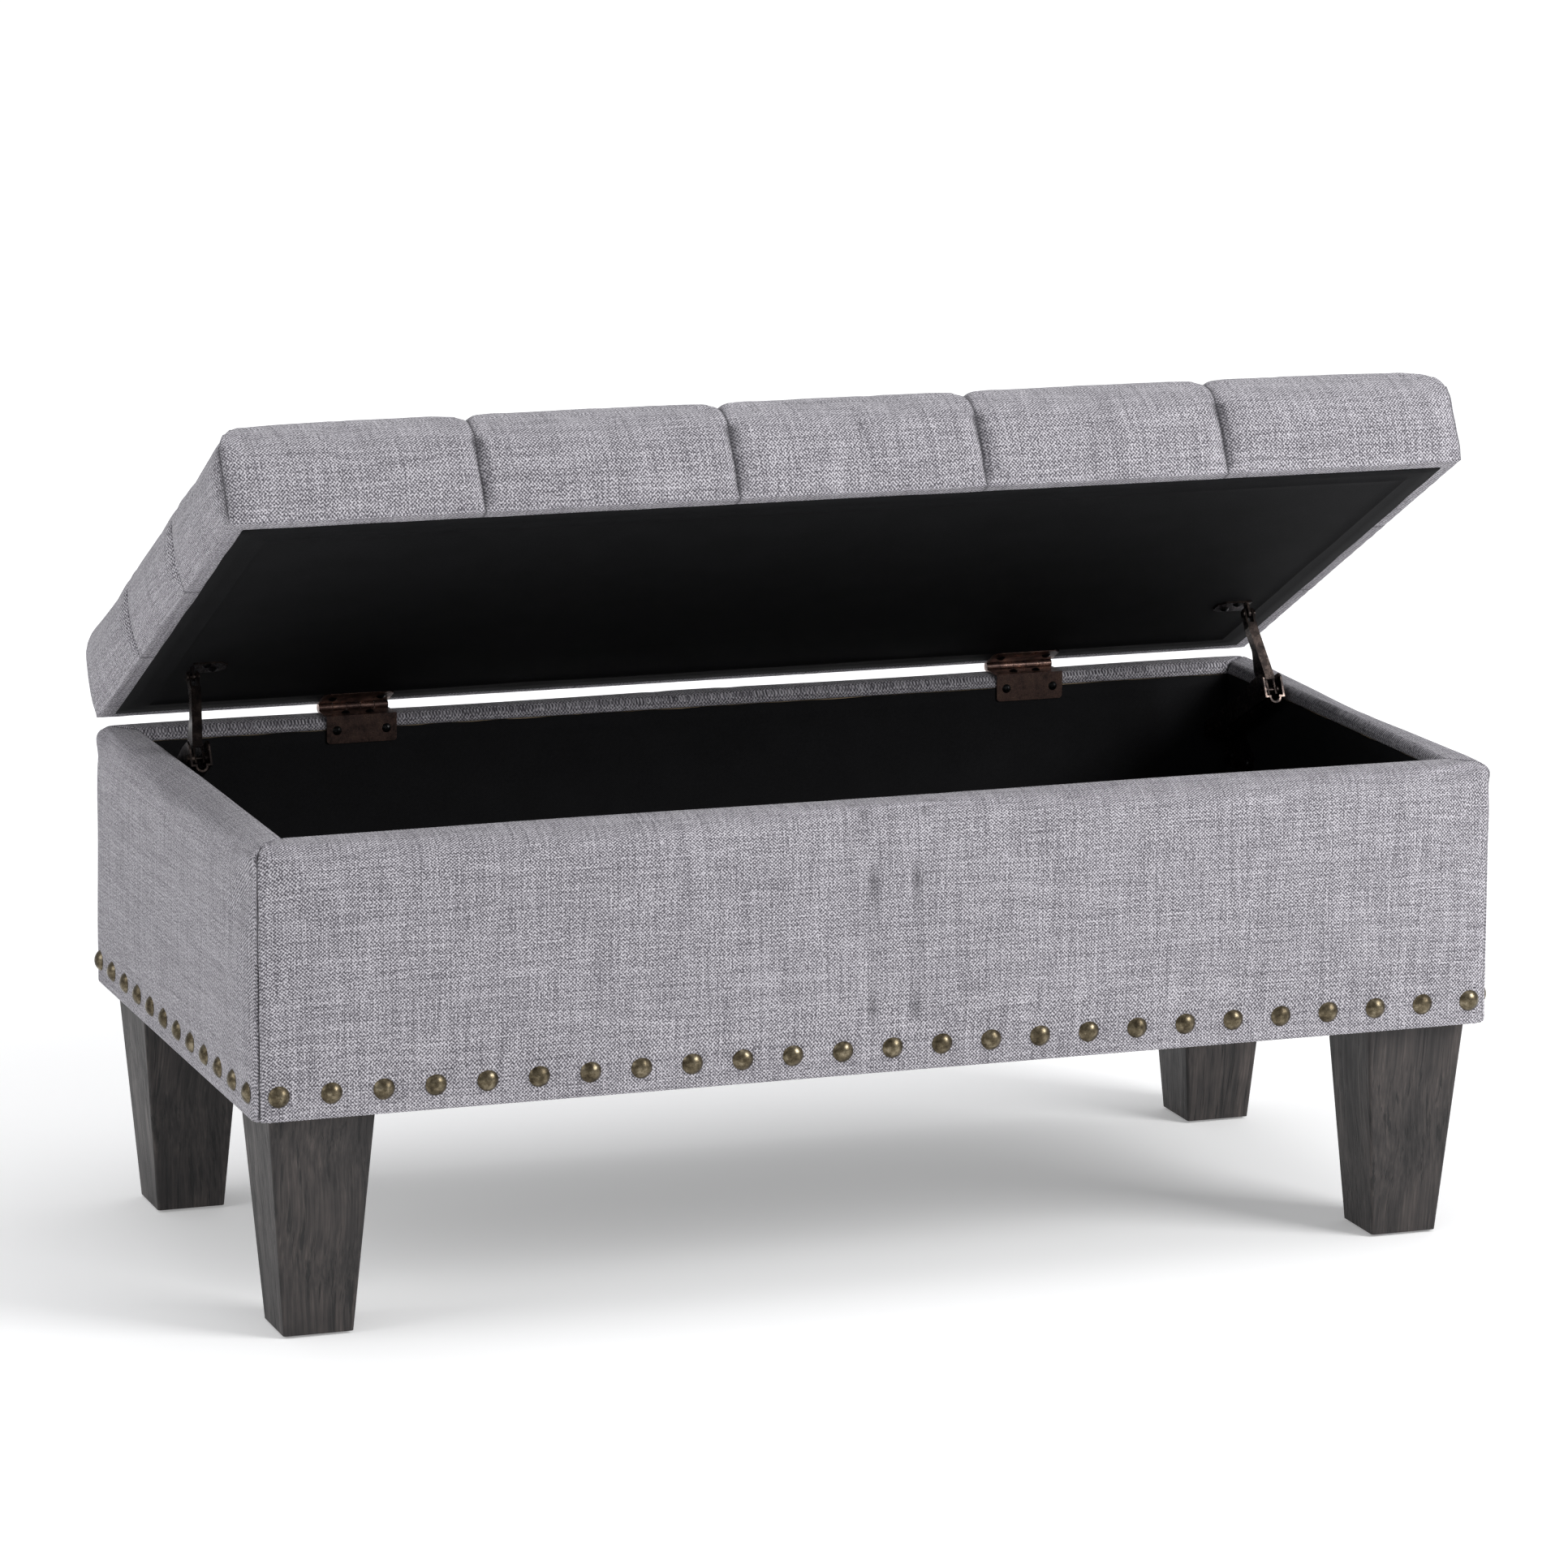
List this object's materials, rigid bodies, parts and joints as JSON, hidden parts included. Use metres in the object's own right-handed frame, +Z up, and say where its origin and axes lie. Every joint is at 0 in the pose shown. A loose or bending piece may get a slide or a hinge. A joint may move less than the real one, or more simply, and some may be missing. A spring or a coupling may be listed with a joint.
{
  "type": "storage bench",
  "caption": "Upholstered storage bench: a padded box on short tapered legs, with a tufted seat lid on rear hinges held by an elbow stay at each end.",
  "frame": {"origin": "middle of the bounding box, lid as stored, at the foot of the legs", "axes": "+X along the bench to a sitter's left as they face out, +Y from the open front towards the hinges, +Z up"},
  "size_m": [1.009, 0.5147, 0.6695],
  "materials": {
    "linen_fabric": "slubbed linen weave, matte",
    "foam": "open cell, matte",
    "black_lining": "fine non-woven cloth, matte",
    "stained_leg_wood": "open grain, worn dark stain",
    "board": "raw board",
    "antique_brass": "aged, mottled",
    "antique_bronze": "antique bronze plate",
    "zinc_steel": "zinc plate",
    "nylon": "moulded",
    "black_screw": "black oxide",
    "dark_stay_metal": "dark bronze plate"
  },
  "bodies": {
    "box": {"bottom_panel": "board", "dust_cover": "black_lining", "floor_liner": "black_lining", "frame_screws": "zinc_steel", "front_cover": "linen_fabric", "front_left_leg": "stained_leg_wood", "front_liner": "black_lining", "front_padding": "foam", "front_panel": "board", "front_right_leg": "stained_leg_wood", "hinge_box_screws": "black_screw", "left_cover": "linen_fabric", "left_hinge_box_leaf": "antique_bronze", "left_hinge_pin": "zinc_steel", "left_liner": "black_lining", "left_padding": "foam", "left_panel": "board", "left_stay_base": "dark_stay_metal", "leg_bolts": "zinc_steel", "leg_glides": "nylon", "leg_tee_nuts": "zinc_steel", "nailheads_front": "antique_brass", "nailheads_left": "antique_brass", "nailheads_right": "antique_brass", "rear_cover": "linen_fabric", "rear_left_leg": "stained_leg_wood", "rear_liner": "black_lining", "rear_padding": "foam", "rear_panel": "board", "rear_right_leg": "stained_leg_wood", "right_cover": "linen_fabric", "right_hinge_box_leaf": "antique_bronze", "right_hinge_pin": "zinc_steel", "right_liner": "black_lining", "right_padding": "foam", "right_panel": "board", "right_stay_base": "dark_stay_metal", "stay_base_rivets": "dark_stay_metal", "stay_base_screws": "black_screw"},
    "lid": {"hinge_lid_screws": "black_screw", "left_hinge_lid_leaf": "antique_bronze", "left_stay_bracket": "dark_stay_metal", "lid_board": "board", "lid_cover": "linen_fabric", "lid_foam": "foam", "lid_liner": "black_lining", "right_hinge_lid_leaf": "antique_bronze", "right_stay_bracket": "dark_stay_metal", "stay_bracket_rivets": "dark_stay_metal", "stay_bracket_screws": "black_screw"},
    "left_link": {"left_stay_link": "dark_stay_metal", "left_stay_elbow_rivet": "dark_stay_metal", "left_stay_elbow_washers": "nylon"},
    "left_arm": {"left_stay_arm": "dark_stay_metal"},
    "right_link": {"right_stay_link": "dark_stay_metal", "right_stay_elbow_rivet": "dark_stay_metal", "right_stay_elbow_washers": "nylon"},
    "right_arm": {"right_stay_arm": "dark_stay_metal"}
  },
  "joints": [
    {"name": "lid_hinge", "type": "hinge", "parent": "box", "child": "lid", "pos_m": [0, 0.21815, 0.3855], "axis": [-1, 0, 0], "range_deg": [-28.6, 46.4]},
    {"name": "left_link_pivot", "type": "hinge", "parent": "box", "child": "left_link", "pos_m": [-0.4525, 0.18215, 0.328], "axis": [-1, 0, 0], "range_deg": [-28.6, 46.4]},
    {"name": "left_arm_pivot", "type": "hinge", "parent": "lid", "child": "left_arm", "pos_m": [-0.447, 0.11151, 0.43851], "axis": [-1, 0, 0], "range_deg": [-46.4, 28.6]},
    {"name": "right_link_pivot", "type": "hinge", "parent": "box", "child": "right_link", "pos_m": [0.4525, 0.18215, 0.328], "axis": [-1, 0, 0], "range_deg": [-28.6, 46.4]},
    {"name": "right_arm_pivot", "type": "hinge", "parent": "lid", "child": "right_arm", "pos_m": [0.447, 0.11151, 0.43851], "axis": [-1, 0, 0], "range_deg": [-46.4, 28.6]}
  ],
  "couplings": [
    {"joint": "left_link_pivot", "follows": "lid_hinge", "ratio": 1},
    {"joint": "left_arm_pivot", "follows": "lid_hinge", "ratio": -1},
    {"joint": "right_link_pivot", "follows": "lid_hinge", "ratio": 1},
    {"joint": "right_arm_pivot", "follows": "lid_hinge", "ratio": -1}
  ]
}
